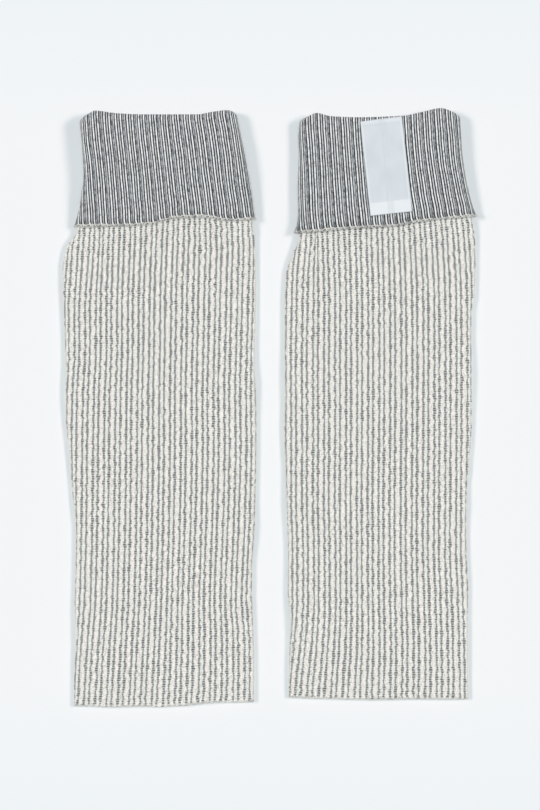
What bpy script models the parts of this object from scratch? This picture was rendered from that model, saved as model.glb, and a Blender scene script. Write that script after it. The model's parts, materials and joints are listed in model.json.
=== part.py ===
"""A pair of knitted arm warmers laid flat side by side, each with its upper end turned down as a cuff.

Each warmer is one tube of rib knit, knitted in the round and cut to length. It lies flat, front layer on
back layer. Its upper end is folded outward and down, so the cuff shows the reverse of the cloth. The right
cuff carries a small satin label. Metres, +Z up, +Y from the hems to the folds, hems and cuffs on Z = 0.
"""

import math
from collections import namedtuple

import bmesh
import bpy
import numpy as np

MM = 0.001

# Cloth, in metres
TUBE_WALL = 2.2 * MM  # over a rib
RIB_RELIEF = 0.8 * MM  # from a rib's top down to a valley
CUFF_WALL = 2.1 * MM  # over a ridge
RIDGE_RELIEF = 0.5 * MM
HOLLOW = 0.5 * MM  # between the two layers of a tube that lies flat
SEAM = 0.3 * MM  # between pieces that touch
CROWN = 0.8 * MM  # how much higher the middle lies than the sides
EDGE = 0.7 * MM  # rounding of a cut edge
INSIDE_FOLD = 0.6 * MM  # from a tube's hidden upper end to the fold that takes it up

# Sizes that follow from the cloth
TUBE_HEIGHT = 2 * TUBE_WALL + HOLLOW
TUBE_IN_CUFF = CUFF_WALL + SEAM  # from a cuff's outside to the tube inside it
CUFF_HEIGHT = TUBE_HEIGHT + 2 * TUBE_IN_CUFF
FOLD_RADIUS = (TUBE_IN_CUFF + TUBE_WALL) / 2

# The label
LABEL_WIDTH = 21.5 * MM
LABEL_LENGTH = 50.4 * MM
LABEL_THICK = 1.0 * MM
LABEL_HEM = 5.2 * MM  # its lower end is folded under once more
LABEL_HEM_THICK = 1.3 * MM
LABEL_TURN = math.radians(5.7)
LABEL_ACROSS = 2.9 * MM  # its centre, from the right warmer's centre line
LABEL_UP = 282.3 * MM  # and from its hem
LABEL_STEPS_ACROSS = 4
LABEL_STEPS_FLAT = 5
LABEL_BEND = 6.0 * MM  # its upper end, which bends over the fold
LABEL_STEPS_BEND = 8

RIBS_END = 0.05  # share of the cuff's length that the tube's ribs go on into it, out of sight

# How many steps a ring takes
STEPS_UNDER = 12
STEPS_FLAT = 7
STEPS_SIDE = 6
STEPS_FOLD = 5

# Tables, in millimetres. "up" is measured from the hem, "across" from the warmer's centre line.
Section = namedtuple("Section", "up left right low")  # low: how far the underside is off the ground
CuffSection = namedtuple("CuffSection", "share left right")  # share: of the way from mouth to fold
LinePoint = namedtuple("LinePoint", "across up")
RibRow = namedtuple("RibRow", "up centre pitch_left pitch_right")
RidgeRow = namedtuple("RidgeRow", "share centre pitch_left pitch_right")
Feature = namedtuple("Feature", "share depth")  # share of one repeat, depth as a share of the relief
Ring = namedtuple("Ring", "left right low high")

# One repeat of the right side: a wide rib, a valley, a narrow rib and a valley
RIB_REPEAT = [
    Feature(-0.20, 0.0),
    Feature(0.20, 0.0),
    Feature(0.28, 1.0),
    Feature(0.50, 0.1),
    Feature(0.72, 1.0),
]
RIB_REPEATS = 19
# One repeat of the reverse: two thin ridges at unequal distances
RIDGE_REPEAT = [
    Feature(0.0, 0.0),
    Feature(0.22, 1.0),
    Feature(0.435, 0.0),
    Feature(0.72, 1.0),
]
RIDGE_REPEATS = 18

Warmer = namedtuple("Warmer", "side place hem mouth fold body cuff ribs ridges")

LEFT = Warmer(
    side="left",
    place=(-58.5, -158.0),
    hem=[
        LinePoint(-46, 0.0),
        LinePoint(-20, -0.5),
        LinePoint(12, 0.2),
        LinePoint(31, 1.8),
        LinePoint(50, 2.1),
    ],
    mouth=[
        LinePoint(-46, 254.2),
        LinePoint(-27, 254.2),
        LinePoint(-4, 255.3),
        LinePoint(2, 257.2),
        LinePoint(12, 258.8),
        LinePoint(23, 259.0),
        LinePoint(37, 257.2),
        LinePoint(51, 258.1),
    ],
    fold=[
        LinePoint(-42, 311.6),
        LinePoint(-34, 312.9),
        LinePoint(-23, 311.6),
        LinePoint(-8, 311.0),
        LinePoint(20, 311.0),
        LinePoint(28, 312.4),
        LinePoint(36, 313.2),
        LinePoint(42, 311.8),
    ],
    body=[
        Section(1.2, -45.6, 49.9, 0.0),
        Section(20, -45.7, 49.9, 0.0),
        Section(36, -44.6, 49.6, 0.0),
        Section(54, -45.5, 49.1, 0.0),
        Section(68, -45.0, 48.9, 0.0),
        Section(92, -44.8, 50.2, 0.0),
        Section(112, -46.5, 50.8, 0.0),
        Section(138, -48.6, 51.2, 0.0),
        Section(160, -50.5, 51.1, 0.0),
        Section(180, -50.2, 50.1, 0.0),
        Section(204, -51.1, 50.7, 0.0),
        Section(234, -51.9, 50.8, 0.0),
        Section(246, -49.4, 50.3, 1.0),
        Section(253.5, -44.2, 49.4, 2.4),
    ],
    cuff=[
        CuffSection(0.0, -45.5, 50.9),
        CuffSection(0.2, -43.0, 49.5),
        CuffSection(0.36, -42.2, 48.2),
        CuffSection(0.5, -40.6, 46.9),
        CuffSection(0.75, -41.2, 44.1),
        CuffSection(1.0, -42.5, 41.2),
    ],
    ribs=[
        RibRow(0, -3.3, 6.0, 6.15),
        RibRow(9, -2.6, 6.0, 6.1),
        RibRow(34, -1.5, 5.93, 5.95),
        RibRow(57, -0.5, 5.83, 5.65),
        RibRow(104, 0.5, 5.82, 5.76),
        RibRow(166, 0.95, 5.76, 5.75),
        RibRow(214, 1.5, 5.7, 5.84),
        RibRow(238, 2.25, 5.62, 5.83),
        RibRow(254, 2.9, 5.55, 5.65),
    ],
    ridges=[
        RidgeRow(0.0, 6.3, 6.22, 6.5),
        RidgeRow(0.25, 5.15, 6.14, 6.4),
        RidgeRow(0.6, 3.25, 6.08, 6.3),
        RidgeRow(1.0, 1.0, 6.08, 6.08),
    ],
)

RIGHT = Warmer(
    side="right",
    place=(58.4, -154.0),
    hem=[
        LinePoint(-49, 0.5),
        LinePoint(-25, -0.3),
        LinePoint(-4, -0.8),
        LinePoint(17, -0.4),
        LinePoint(46, -0.6),
    ],
    mouth=[
        LinePoint(-46, 246.8),
        LinePoint(-32, 247.5),
        LinePoint(-21, 248.6),
        LinePoint(8, 250.3),
        LinePoint(17, 252.0),
        LinePoint(29, 253.6),
        LinePoint(51, 255.8),
    ],
    fold=[
        LinePoint(-43, 305.1),
        LinePoint(-34, 307.8),
        LinePoint(-26, 306.0),
        LinePoint(-12, 305.5),
        LinePoint(12, 306.3),
        LinePoint(22, 308.3),
        LinePoint(32, 310.3),
        LinePoint(42, 307.5),
    ],
    body=[
        Section(1.2, -48.7, 46.7, 0.0),
        Section(20, -48.5, 46.6, 0.0),
        Section(40, -47.7, 46.5, 0.0),
        Section(58, -49.2, 46.8, 0.0),
        Section(76, -49.0, 45.9, 0.0),
        Section(100, -49.7, 45.7, 0.0),
        Section(120, -50.2, 47.1, 0.0),
        Section(144, -51.4, 48.7, 0.0),
        Section(166, -50.6, 48.4, 0.0),
        Section(196, -51.0, 48.5, 0.0),
        Section(212, -50.9, 50.3, 0.0),
        Section(228, -50.0, 50.7, 0.0),
        Section(239, -46.4, 50.3, 0.9),
        Section(247.5, -42.8, 48.7, 2.4),
    ],
    cuff=[
        CuffSection(0.0, -45.8, 51.2),
        CuffSection(0.17, -43.7, 48.2),
        CuffSection(0.4, -43.9, 45.4),
        CuffSection(0.7, -43.5, 43.4),
        CuffSection(0.88, -43.9, 42.9),
        CuffSection(1.0, -43.2, 42.6),
    ],
    ribs=[
        RibRow(0, 0.4, 6.35, 6.15),
        RibRow(10, 0.5, 6.25, 6.15),
        RibRow(26, 0.95, 6.05, 6.03),
        RibRow(52, 0.5, 5.74, 6.0),
        RibRow(79, 0.3, 5.72, 5.87),
        RibRow(137, 0.55, 5.82, 5.88),
        RibRow(185, 0.75, 5.87, 5.84),
        RibRow(214, 0.5, 5.78, 5.84),
        RibRow(238, -0.15, 5.58, 5.73),
        RibRow(250, -0.6, 5.45, 5.62),
    ],
    ridges=[
        RidgeRow(0.0, 3.3, 6.5, 6.52),
        RidgeRow(0.26, 1.65, 6.42, 6.36),
        RidgeRow(0.64, -0.45, 6.23, 6.17),
        RidgeRow(1.0, -1.75, 6.22, 6.13),
    ],
)


def column(table, name):
    return np.array([getattr(row, name) for row in table], float)


def curve(table, along, value, at):
    """A smooth curve through a table's rows that never overshoots them, read at one place."""
    x, y = column(table, along), column(table, value)
    at = min(max(at, x[0]), x[-1])
    i = min(int(np.searchsorted(x, at, side="right")) - 1, len(x) - 2)
    slopes = np.diff(y) / np.diff(x)
    ends = [slopes[max(i - 1, 0)], slopes[i], slopes[min(i + 1, len(slopes) - 1)]]
    start, stop = (0.0 if a * b <= 0 else 2 * a * b / (a + b) for a, b in (ends[:2], ends[1:]))
    step = x[i + 1] - x[i]
    t = (at - x[i]) / step
    return (
        y[i] * (1 + 2 * t) * (1 - t) ** 2
        + step * start * t * (1 - t) ** 2
        + y[i + 1] * t * t * (3 - 2 * t)
        + step * stop * t * t * (t - 1)
    )


def up_body(warmer, up, across):
    """Height above the hem line of the place that a section's up names, as the hem and the mouth tilt."""
    middle = curve(warmer.mouth, "across", "up", 0.0)
    share = up / middle
    hem = curve(warmer.hem, "across", "up", across / MM)
    mouth = curve(warmer.mouth, "across", "up", across / MM)
    return (hem + (mouth - hem) * share) * MM


def up_cuff(warmer, share, across):
    mouth = curve(warmer.mouth, "across", "up", across / MM)
    fold = curve(warmer.fold, "across", "up", across / MM)
    return (mouth + (fold - mouth) * share) * MM


def body_ring(section):
    low = section.low * MM
    return Ring(section.left * MM, section.right * MM, low, low + TUBE_HEIGHT)


def cuff_ring(warmer, share):
    left = np.interp(share, column(warmer.cuff, "share"), column(warmer.cuff, "left")) * MM
    right = np.interp(share, column(warmer.cuff, "share"), column(warmer.cuff, "right")) * MM
    return Ring(left, right, 0.0, CUFF_HEIGHT)


def shrunk(ring, inset):
    return Ring(ring.left + inset, ring.right - inset, ring.low + inset, ring.high - inset)


def radius_of(ring):
    return (ring.high - ring.low) / 2


def length_of(ring):
    flat = ring.right - ring.left - 2 * radius_of(ring)
    return 2 * flat + 2 * math.pi * radius_of(ring)


def on_ring(ring, run, inset):
    """Where a flattened ring passes, as (across, height). run is the way along it from the warmer's centre
    line, over the top, round the sides and underneath, and inset moves the point into the cloth."""
    radius = radius_of(ring)
    centre = (ring.left + ring.right) / 2
    if run > centre + length_of(ring) / 2:
        run -= length_of(ring)
    side = -1 if run < centre else 1
    turning = (ring.left + radius) if side < 0 else (ring.right - radius)
    past = side * (run - turning)
    angle = past / radius
    if angle <= 0:
        across, height = run, ring.high - inset
    elif angle <= math.pi:
        across = turning + side * (radius - inset) * math.sin(angle)
        height = ring.low + radius + (radius - inset) * math.cos(angle)
    else:
        across, height = turning - side * (past - math.pi * radius), ring.low + inset
    off_centre = (across - centre) / ((ring.right - ring.left) / 2)
    on_top = 0.5 + 0.5 * math.cos(min(max(angle, 0.0), math.pi))
    return across, height + CROWN * on_top * (1 - off_centre**4)


def on_top_share(ring, run):
    """1 on the top and the upper half of a side, and 0 underneath, where the cloth rests flat."""
    height = on_ring(ring, run, 0.0)[1]
    return min(max((height - ring.low) / radius_of(ring) - 0.2, 0.0) / 0.8, 1.0)


def with_under(ring, runs):
    """The runs over the top, with evenly spaced ones underneath that close the ring."""
    rest = length_of(ring) - (runs[-1] - runs[0])
    return runs + [runs[-1] + rest * (i + 1) / (STEPS_UNDER + 1) for i in range(STEPS_UNDER)]


def plain_runs(ring):
    radius = radius_of(ring)
    left, right = ring.left + radius, ring.right - radius
    side = [math.pi * radius * (i + 1) / STEPS_SIDE for i in range(STEPS_SIDE)]
    flat = [(right - left) * (i + 1) / STEPS_FLAT for i in range(STEPS_FLAT)]
    top = [left + step for step in flat]
    round_right = [right + step for step in side]
    under = [round_right[-1] + step for step in flat]
    round_left = [under[-1] + step for step in side]
    return top + round_right + under + round_left


def repeat_places(features, repeats):
    """Each feature's place in repeats, counted from the middle one, with its depth."""
    first = -(repeats // 2)
    return [(first + i + f.share, f.depth) for i in range(repeats) for f in features]


def relief_loop(ring, places, runs, relief, inset):
    """(across, height) round a ring, each run sunk by its feature's depth, and plain underneath."""
    depths = [depth for _, depth in places] + [0.0] * STEPS_UNDER
    return [
        on_ring(ring, run, inset + relief * depth * on_top_share(ring, run))
        for run, depth in zip(with_under(ring, runs), depths)
    ]


def rib_loop(warmer, ring, up, relief=RIB_RELIEF, inset=0.0):
    """Round a ring of the tube. The tables follow the middle narrow rib, half a repeat from its wide one."""
    centre, *pitches = (curve(warmer.ribs, "up", name, up) for name in RibRow._fields[1:])
    places = repeat_places(RIB_REPEAT, RIB_REPEATS)
    runs = [(centre + (place - 0.5) * pitches[place > 0.5]) * MM for place, _ in places]
    return relief_loop(ring, places, runs, relief, inset)


def ridge_loop(warmer, ring, share, relief=RIDGE_RELIEF, inset=0.0):
    """Round a ring of the cuff. The tables follow a ridge near its middle."""
    centre, *pitches = (curve(warmer.ridges, "share", name, share) for name in RidgeRow._fields[1:])
    places = repeat_places(RIDGE_REPEAT, RIDGE_REPEATS)
    runs = [(centre + place * pitches[place > 0]) * MM for place, _ in places]
    return relief_loop(ring, places, runs, relief, inset)


def plain_loop(ring, inset=0.0):
    return [on_ring(ring, run, inset) for run in plain_runs(ring)]


def add_loop(bm, loop, up_at):
    return [bm.verts.new((across, up_at(across), height)) for across, height in loop]


def skin(bm, first, second):
    """Faces between two rings of points: four-sided where both have as many, or else three-sided, each
    going to the point that is next along its own ring."""
    m, n = len(first), len(second)
    if m == n:
        for i in range(m):
            bm.faces.new((first[i], first[(i + 1) % m], second[(i + 1) % n], second[i]))
        return
    turned = min(range(n), key=lambda j: (second[j].co - first[0].co).length)
    second = second[turned:] + second[:turned]
    i = j = 0
    while i < m or j < n:
        a, b = first[i % m], second[j % n]
        next_a, next_b = first[(i + 1) % m], second[(j + 1) % n]
        if j == n or (i < m and (next_a.co - b.co).length <= (next_b.co - a.co).length):
            bm.faces.new((a, next_a, b))
            i += 1
        else:
            bm.faces.new((a, next_b, b))
            j += 1


def closed_skin(bm, loops):
    """One closed wall from its rings, the last joined to the first."""
    for first, second in zip(loops, loops[1:] + loops[:1]):
        skin(bm, first, second)
    bmesh.ops.recalc_face_normals(bm, faces=bm.faces)


def tube_mesh(warmer):
    """The stretch from the hem to the fold, open at both ends, ribbed on top and down its sides."""
    bm = bmesh.new()
    first = warmer.body[0]
    hem_ring = body_ring(first)
    outer = [add_loop(bm, rib_loop(warmer, hem_ring, 0.0, 0.0, EDGE), lambda x: up_body(warmer, 0.0, x))]
    inner = [add_loop(bm, plain_loop(hem_ring, TUBE_WALL), lambda x: up_body(warmer, 0.0, x))]
    for section in warmer.body:
        ring = body_ring(section)

        def up_at(x, up=section.up):
            return up_body(warmer, up, x)

        outer.append(add_loop(bm, rib_loop(warmer, ring, section.up), up_at))
        if section is not first:
            inner.append(add_loop(bm, plain_loop(ring, TUBE_WALL), up_at))
    ring = shrunk(cuff_ring(warmer, RIBS_END), TUBE_IN_CUFF)
    loop = rib_loop(warmer, ring, warmer.ribs[-1].up)
    outer.append(add_loop(bm, loop, lambda x: up_cuff(warmer, RIBS_END, x)))
    for section in warmer.cuff[1:]:
        ring = shrunk(cuff_ring(warmer, section.share), TUBE_IN_CUFF)
        back_off = INSIDE_FOLD if section is warmer.cuff[-1] else 0.0

        def up_at(x, share=section.share, back_off=back_off):
            return up_cuff(warmer, share, x) - back_off

        outer.append(add_loop(bm, plain_loop(ring), up_at))
        inner.append(add_loop(bm, plain_loop(ring, TUBE_WALL), up_at))
    closed_skin(bm, outer + inner[::-1])
    return bm


def cuff_mesh(warmer):
    """The turned-down stretch, ridged outside, from its free edge over the fold to the tube's end."""
    bm = bmesh.new()
    mouth, top = cuff_ring(warmer, 0.0), cuff_ring(warmer, 1.0)
    loops = [
        add_loop(bm, ridge_loop(warmer, mouth, 0.0, 0.0, EDGE), lambda x: up_cuff(warmer, 0.0, x)),
        add_loop(bm, ridge_loop(warmer, mouth, 0.0), lambda x: up_cuff(warmer, 0.0, x) + EDGE),
    ]
    for section in warmer.cuff[1:]:
        ring = cuff_ring(warmer, section.share)
        loop = ridge_loop(warmer, ring, section.share)
        loops.append(add_loop(bm, loop, lambda x, share=section.share: up_cuff(warmer, share, x)))
    for i in range(STEPS_FOLD):
        angle = math.pi * (i + 1) / STEPS_FOLD
        relief = RIDGE_RELIEF * max(math.cos(angle / 2), 0.0)
        loop = ridge_loop(warmer, top, 1.0, relief, FOLD_RADIUS * (1 - math.cos(angle)))
        out = FOLD_RADIUS * math.sin(angle)
        loops.append(add_loop(bm, loop, lambda x, out=out: up_cuff(warmer, 1.0, x) + out))
    for section in warmer.cuff[::-1]:
        loop = plain_loop(cuff_ring(warmer, section.share), CUFF_WALL)
        loops.append(add_loop(bm, loop, lambda x, share=section.share: up_cuff(warmer, share, x)))
    closed_skin(bm, loops)
    return bm


def on_cuff(warmer, across, up, out):
    """A point of the cuff's front, moved out by out. Above the fold line, up goes on round the fold."""
    fold = up_cuff(warmer, 1.0, across)
    mouth = up_cuff(warmer, 0.0, across)
    share = min((up - mouth) / (fold - mouth), 1.0)
    height = on_ring(cuff_ring(warmer, share), across, 0.0)[1]
    angle = max(up - fold, 0.0) / FOLD_RADIUS
    reach = FOLD_RADIUS + out
    return (
        across,
        min(up, fold) + reach * math.sin(angle),
        height - FOLD_RADIUS + reach * math.cos(angle),
    )


def label_mesh(warmer):
    """The label, from the cuff's own points moved out, thicker where its lower end is folded under."""
    flat = np.linspace(LABEL_HEM, LABEL_LENGTH - LABEL_BEND, LABEL_STEPS_FLAT)
    bend = np.linspace(LABEL_LENGTH - LABEL_BEND, LABEL_LENGTH, LABEL_STEPS_BEND + 1)
    rows = [0.0, LABEL_HEM - LABEL_THICK, *flat, *bend[1:]]
    bm = bmesh.new()
    bmesh.ops.create_grid(bm, x_segments=LABEL_STEPS_ACROSS, y_segments=len(rows) - 1, size=0.5)
    bmesh.ops.solidify(bm, geom=bm.faces[:], thickness=1.0)
    middle = sum(v.co.z for v in bm.verts) / len(bm.verts)
    for vert in bm.verts:
        face_up = vert.co.z > middle
        from_end = rows[round((vert.co.y + 0.5) * (len(rows) - 1))]
        a, b = vert.co.x * LABEL_WIDTH, from_end - LABEL_LENGTH / 2
        thick = LABEL_HEM_THICK if from_end < LABEL_HEM else LABEL_THICK
        across = LABEL_ACROSS + a * math.cos(LABEL_TURN) - b * math.sin(LABEL_TURN)
        up = LABEL_UP + a * math.sin(LABEL_TURN) + b * math.cos(LABEL_TURN)
        vert.co = on_cuff(warmer, across, up, SEAM + (thick if face_up else 0.0))
    bmesh.ops.recalc_face_normals(bm, faces=bm.faces)
    return bm


def material(name, colour, roughness):
    made = bpy.data.materials.new(name)
    made.use_nodes = True
    shader = made.node_tree.nodes["Principled BSDF"]
    shader.inputs["Base Color"].default_value = (*colour, 1.0)
    shader.inputs["Roughness"].default_value = roughness
    shader.inputs["Metallic"].default_value = 0.0
    return made


def add_piece(name, bm, parent, look):
    mesh = bpy.data.meshes.new(name)
    bm.to_mesh(mesh)
    bm.free()
    mesh.materials.append(look)
    mesh.shade_smooth()
    piece = bpy.data.objects.new(name, mesh)
    piece.parent = parent
    bpy.context.scene.collection.objects.link(piece)
    return piece


def add_empty(name, parent=None, place=(0.0, 0.0, 0.0)):
    empty = bpy.data.objects.new(name, None)
    empty.parent = parent
    empty.location = place
    bpy.context.scene.collection.objects.link(empty)
    return empty


def centre_pair(pair, pieces):
    """Moves the pair so that the middle of its outline is over the origin."""
    bpy.context.view_layer.update()
    corners = np.array([piece.matrix_world @ v.co for piece in pieces for v in piece.data.vertices])
    middle = (corners.min(axis=0) + corners.max(axis=0)) / 2
    pair.location = (-middle[0], -middle[1], 0.0)


def main():
    for old in list(bpy.data.objects):
        bpy.data.objects.remove(old)
    rib_knit = material("rib_knit", (0.62, 0.61, 0.58), 0.9)
    reverse_knit = material("reverse_knit", (0.24, 0.25, 0.27), 0.9)
    label_satin = material("label_satin", (0.80, 0.81, 0.83), 0.45)
    pair = add_empty("arm_warmers")
    pieces = []
    for warmer in (LEFT, RIGHT):
        place = (warmer.place[0] * MM, warmer.place[1] * MM, 0.0)
        parent = add_empty(warmer.side + "_warmer", pair, place)
        pieces.append(add_piece(warmer.side + "_tube", tube_mesh(warmer), parent, rib_knit))
        pieces.append(add_piece(warmer.side + "_cuff", cuff_mesh(warmer), parent, reverse_knit))
        if warmer is RIGHT:
            pieces.append(add_piece("right_label", label_mesh(warmer), parent, label_satin))
    centre_pair(pair, pieces)


main()
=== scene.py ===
"""The looks of a pair of rib-knit arm warmers, laid flat with their upper ends turned down as cuffs.

Each warmer is one tube of plated rib knit, cream outside and dark marl inside. Every piece of cloth starts as
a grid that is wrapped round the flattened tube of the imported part, with one row of the grid to a course of
stitches. Metres, +Z up, +Y from the hems to the folds. The tables of shapes are in millimetres.
"""

import json
import math
from collections import namedtuple

import bmesh
import bpy
import numpy as np
from bpy.props import FloatProperty, FloatVectorProperty, PointerProperty
from bpy.types import Operator, Panel, PropertyGroup
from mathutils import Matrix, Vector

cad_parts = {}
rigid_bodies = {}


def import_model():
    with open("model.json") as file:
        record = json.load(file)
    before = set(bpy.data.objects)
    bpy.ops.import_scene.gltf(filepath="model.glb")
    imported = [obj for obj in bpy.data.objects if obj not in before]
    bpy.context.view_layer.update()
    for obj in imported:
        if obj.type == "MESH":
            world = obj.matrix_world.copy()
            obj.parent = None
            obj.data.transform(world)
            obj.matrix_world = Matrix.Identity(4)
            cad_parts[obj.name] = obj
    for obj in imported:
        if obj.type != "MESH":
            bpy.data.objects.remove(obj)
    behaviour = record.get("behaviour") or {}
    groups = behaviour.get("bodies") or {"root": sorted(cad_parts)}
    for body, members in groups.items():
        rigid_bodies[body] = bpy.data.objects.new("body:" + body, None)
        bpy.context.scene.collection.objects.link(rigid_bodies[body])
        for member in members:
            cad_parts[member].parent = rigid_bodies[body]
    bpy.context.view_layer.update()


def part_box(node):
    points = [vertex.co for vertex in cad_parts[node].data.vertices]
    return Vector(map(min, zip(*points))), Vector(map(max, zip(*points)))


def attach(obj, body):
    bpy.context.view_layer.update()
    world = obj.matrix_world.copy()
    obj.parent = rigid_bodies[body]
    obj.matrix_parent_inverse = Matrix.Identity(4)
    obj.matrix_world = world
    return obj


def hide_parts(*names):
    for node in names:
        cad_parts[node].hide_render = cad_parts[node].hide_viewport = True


bl_info = {
    "name": "Rib-knit arm warmers",
    "version": (1, 0, 0),
    "blender": (4, 5, 0),
    "location": "3D View > Sidebar > Knit",
    "description": "Adds a pair of rib-knit arm warmers, laid flat, over their packed part",
    "category": "Add Mesh",
}

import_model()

MM = 0.001

# Tables, in millimetres: "up" is measured from the hem, "across" from the warmer's centre line
Section = namedtuple("Section", "up left right low")  # low: how far the underside is off the ground
# share: of the way from mouth to fold; the heights are those of the cuff's sides, as shares of its middle's
CuffSection = namedtuple("CuffSection", "share left right left_height right_height")
LinePoint = namedtuple("LinePoint", "across up")
RibRow = namedtuple("RibRow", "up centre pitch_left pitch_right squeeze")  # squeeze: of the far left ribs
RidgeRow = namedtuple("RidgeRow", "share centre pitch_left pitch_right")
Feature = namedtuple("Feature", "share depth")  # share of one repeat, depth as a share of the relief
Crease = namedtuple("Crease", "across up turn length width rise")  # turn in degrees from across
Ring = namedtuple("Ring", "left right low high")
Warmer = namedtuple("Warmer", "side hem mouth fold body cuff ribs ridges creases seed")

PINCH_START, PINCH_WIDTH = -4.8, 1.5  # in repeats: where a tube's ribs crowd together under the mouth
REPEATS = 34  # round each warmer, the same in its tube and in its cuff
TOP_RIBS = 19  # repeats that the rib tables place, from the middle of one side's underneath to the other
TOP_RIDGES = 18
RIB_REPEAT = [
    Feature(-0.275, 1.0),
    Feature(-0.215, 0.7),
    Feature(-0.155, 0.12),
    Feature(-0.06, 0.0),
    Feature(0.06, 0.0),
    Feature(0.155, 0.12),
    Feature(0.215, 0.7),
    Feature(0.275, 1.0),
    Feature(0.335, 0.7),
    Feature(0.395, 0.14),
    Feature(0.50, 0.0),
    Feature(0.605, 0.14),
    Feature(0.665, 0.7),
]
RIB_REPEAT_UNDER = [
    Feature(-0.275, 1.0),
    Feature(-0.17, 0.1),
    Feature(0.0, 0.0),
    Feature(0.17, 0.1),
    Feature(0.275, 1.0),
    Feature(0.395, 0.15),
    Feature(0.605, 0.15),
]
RIDGE_REPEAT = [
    Feature(-0.045, 0.12),
    Feature(0.0, 0.0),
    Feature(0.045, 0.12),
    Feature(0.105, 1.0),
    Feature(0.17, 0.45),
    Feature(0.217, 0.3),
    Feature(0.265, 0.45),
    Feature(0.33, 1.0),
    Feature(0.39, 0.12),
    Feature(0.435, 0.0),
    Feature(0.48, 0.12),
    Feature(0.535, 1.0),
    Feature(0.585, 0.45),
    Feature(0.625, 0.3),
    Feature(0.665, 0.45),
    Feature(0.705, 0.75),
    Feature(0.745, 0.45),
    Feature(0.785, 0.3),
    Feature(0.835, 0.45),
    Feature(0.895, 1.0),
]
RIDGE_REPEAT_UNDER = [
    Feature(-0.05, 0.12),
    Feature(0.05, 0.12),
    Feature(0.12, 1.0),
    Feature(0.217, 0.42),
    Feature(0.33, 1.0),
    Feature(0.385, 0.12),
    Feature(0.485, 0.12),
    Feature(0.55, 1.0),
    Feature(0.73, 0.3),
    Feature(0.92, 1.0),
]

LEFT = Warmer(
    side="left",
    hem=[
        LinePoint(-46, 0.0),
        LinePoint(-20, -0.5),
        LinePoint(12, 0.2),
        LinePoint(31, 1.8),
        LinePoint(50, 2.1),
    ],
    mouth=[
        LinePoint(-46, 254.2),
        LinePoint(-27, 254.2),
        LinePoint(-4, 255.3),
        LinePoint(2, 257.2),
        LinePoint(12, 258.8),
        LinePoint(23, 259.0),
        LinePoint(37, 257.2),
        LinePoint(51, 258.1),
    ],
    fold=[
        LinePoint(-42.5, 308.8),
        LinePoint(-38, 311.0),
        LinePoint(-34, 312.9),
        LinePoint(-23, 311.6),
        LinePoint(-8, 311.0),
        LinePoint(20, 311.0),
        LinePoint(28, 312.4),
        LinePoint(36, 313.2),
        LinePoint(42, 311.2),
    ],
    body=[
        Section(1.2, -45.6, 49.9, 0.0),
        Section(20, -45.7, 49.9, 0.0),
        Section(36, -44.6, 49.6, 0.0),
        Section(54, -45.5, 49.1, 0.0),
        Section(68, -45.0, 48.9, 0.0),
        Section(92, -44.8, 50.2, 0.0),
        Section(112, -46.5, 50.8, 0.0),
        Section(138, -48.6, 51.2, 0.0),
        Section(160, -50.5, 51.1, 0.0),
        Section(180, -50.2, 50.1, 0.0),
        Section(204, -51.1, 50.7, 0.0),
        Section(234, -51.9, 50.8, 0.0),
        Section(246, -49.4, 50.3, 1.0),
        Section(253.5, -44.2, 49.4, 2.4),
    ],
    cuff=[
        CuffSection(0.0, -45.5, 50.9, 0.68, 0.70),
        CuffSection(0.2, -42.8, 49.5, 0.98, 0.84),
        CuffSection(0.36, -41.4, 48.2, 1.15, 0.94),
        CuffSection(0.5, -40.6, 46.9, 1.24, 1.04),
        CuffSection(0.75, -41.2, 44.1, 1.35, 1.11),
        CuffSection(1.0, -42.5, 41.2, 1.33, 1.07),
    ],
    ribs=[
        RibRow(0, -3.3, 6.0, 6.17, 0.0),
        RibRow(9, -2.6, 6.0, 6.12, 0.0),
        RibRow(34, -1.5, 5.93, 5.95, 0.0),
        RibRow(57, -0.5, 5.83, 5.65, 0.0),
        RibRow(104, 0.5, 5.82, 5.76, 0.0),
        RibRow(137, 0.85, 5.82, 5.81, 0.0),
        RibRow(166, 0.95, 5.76, 5.75, 0.0),
        RibRow(192, 1.35, 5.66, 5.78, 0.0),
        RibRow(214, 1.5, 5.7, 5.84, 0.1),
        RibRow(238, 2.25, 5.7, 5.83, 0.9),
        RibRow(254, 2.9, 5.7, 5.65, 1.3),
    ],
    ridges=[
        RidgeRow(0.0, 6.3, 6.22, 6.5),
        RidgeRow(0.1, 6.05, 6.2, 6.44),
        RidgeRow(0.25, 5.15, 6.14, 6.4),
        RidgeRow(0.4, 4.4, 6.11, 6.32),
        RidgeRow(0.6, 3.25, 6.08, 6.3),
        RidgeRow(0.8, 2.05, 6.1, 6.24),
        RidgeRow(1.0, 1.0, 6.08, 6.08),
    ],
    creases=[
        Crease(-8, 226, 12, 34, 9, 0.5),
        Crease(22, 168, -10, 30, 12, -0.45),
        Crease(-18, 118, 8, 32, 12, -0.4),
        Crease(12, 70, -6, 30, 10, 0.4),
        Crease(-6, 22, 4, 36, 8, -0.45),
        Crease(51, 172, 90, 12, 6, 1.5),
        Crease(50, 94, 90, 10, 6, 1.0),
        Crease(-50, 168, 90, 12, 6, 0.9),
        Crease(-45, 36, 90, 8, 5, 1.0),
    ],
    seed=11,
)

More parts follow.
